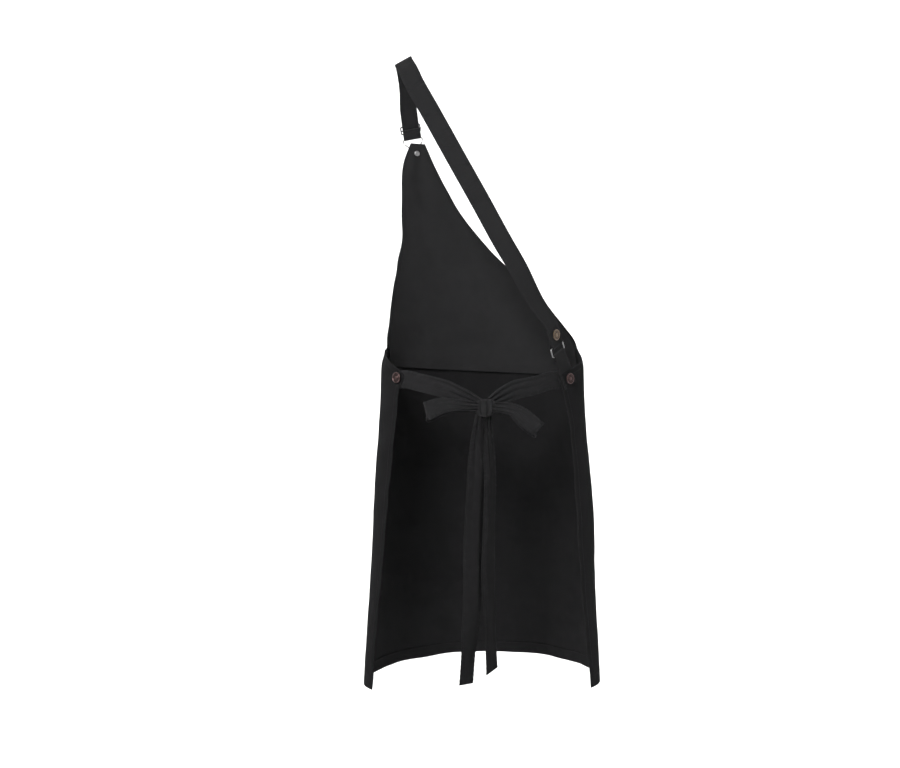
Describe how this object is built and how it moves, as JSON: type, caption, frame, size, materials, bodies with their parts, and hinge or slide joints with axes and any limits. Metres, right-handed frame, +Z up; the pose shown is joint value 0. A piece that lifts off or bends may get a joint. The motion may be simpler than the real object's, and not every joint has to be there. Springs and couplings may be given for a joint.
{
  "type": "artist smock apron",
  "caption": "One-shoulder bib apron of dark cotton twill, with an adjustable strap hooked to the bib tip, a ring and tab at the side, a front pocket and waist ties knotted in a bow.",
  "frame": {"origin": "underside of the strap where it rests on the top of the wearer's left shoulder", "axes": "+Z up, +X to the wearer's right, +Y to the wearer's front, so the bow and the open back face -Y"},
  "size_m": [0.3784, 0.3088, 0.9985],
  "materials": {
    "twill_panel": "matt cotton twill, piece-dyed black",
    "twill_facing": "matt cotton twill, piece-dyed black",
    "twill_strap": "matt cotton twill, folded and stitched",
    "twill_tie": "matt cotton twill, folded and stitched",
    "nickel_wire": "bright nickel plate",
    "nickel_tack": "satin nickel plate",
    "black_metal": "black enamel, semi-gloss",
    "aged_brass": "dark antique brass",
    "aged_copper": "dark antique copper"
  },
  "bodies": {
    "apron": {"body_panel": "twill_panel", "bib_facing": "twill_facing", "front_pocket": "twill_panel", "shoulder_strap": "twill_strap", "ring_tab": "twill_strap", "waist_tie_left": "twill_tie", "waist_tie_right": "twill_tie", "bow_knot": "twill_tie", "bow_loop_left": "twill_tie", "bow_loop_right": "twill_tie", "bib_button_tack": "nickel_tack", "strap_button_tack": "nickel_tack", "left_side_button_tack": "nickel_tack", "right_side_button_tack": "nickel_tack"},
    "slider": {"strap_slider": "black_metal"},
    "hook": {"dungaree_hook": "nickel_wire"},
    "ring": {"strap_ring": "nickel_wire"},
    "bib_cap": {"bib_button_cap": "aged_brass"},
    "strap_cap": {"strap_button_cap": "aged_brass"},
    "left_side_cap": {"left_side_button_cap": "aged_copper"},
    "right_side_cap": {"right_side_button_cap": "aged_copper"},
    "left_tail": {"tie_tail_left": "twill_tie"},
    "right_tail": {"tie_tail_right": "twill_tie"}
  },
  "joints": [
    {"name": "slider_slide", "type": "slide", "parent": "apron", "child": "slider", "axis": [-0.1002, -0.4208, 0.9016], "range_m": [0, 0.025]},
    {"name": "hook_rock", "type": "hinge", "parent": "apron", "child": "hook", "pos_m": [0.00838, 0.09092, -0.10226], "axis": [0.9106, 0.335, 0.2419], "range_deg": [-2, 2]},
    {"name": "ring_rock", "type": "hinge", "parent": "apron", "child": "ring", "pos_m": [0.2434, -0.068, -0.4666], "axis": [0.5473, 0.6944, 0.4672], "range_deg": [-2, 2]},
    {"name": "bib_cap_turn", "type": "hinge", "parent": "apron", "child": "bib_cap", "pos_m": [0.0152, 0.09024, -0.127], "axis": [-0.3452, 0.9385, 0], "continuous": true},
    {"name": "strap_cap_turn", "type": "hinge", "parent": "apron", "child": "strap_cap", "pos_m": [0.2367, -0.0814, -0.43884], "axis": [0.7857, -0.6187, -0.0009], "continuous": true},
    {"name": "left_side_cap_turn", "type": "hinge", "parent": "apron", "child": "left_side_cap", "pos_m": [-0.00554, -0.05982, -0.504], "axis": [-0.6462, -0.7631, 0], "continuous": true},
    {"name": "right_side_cap_turn", "type": "hinge", "parent": "apron", "child": "right_side_cap", "pos_m": [0.26028, -0.05622, -0.5055], "axis": [0.6807, -0.7326, 0], "continuous": true},
    {"name": "left_tail_swing", "type": "hinge", "parent": "apron", "child": "left_tail", "pos_m": [0.1215, -0.111, -0.5647], "axis": [1, 0, 0], "range_deg": [-75, 30]},
    {"name": "right_tail_swing", "type": "hinge", "parent": "apron", "child": "right_tail", "pos_m": [0.1385, -0.104, -0.5647], "axis": [1, 0, 0], "range_deg": [-75, 30]}
  ]
}
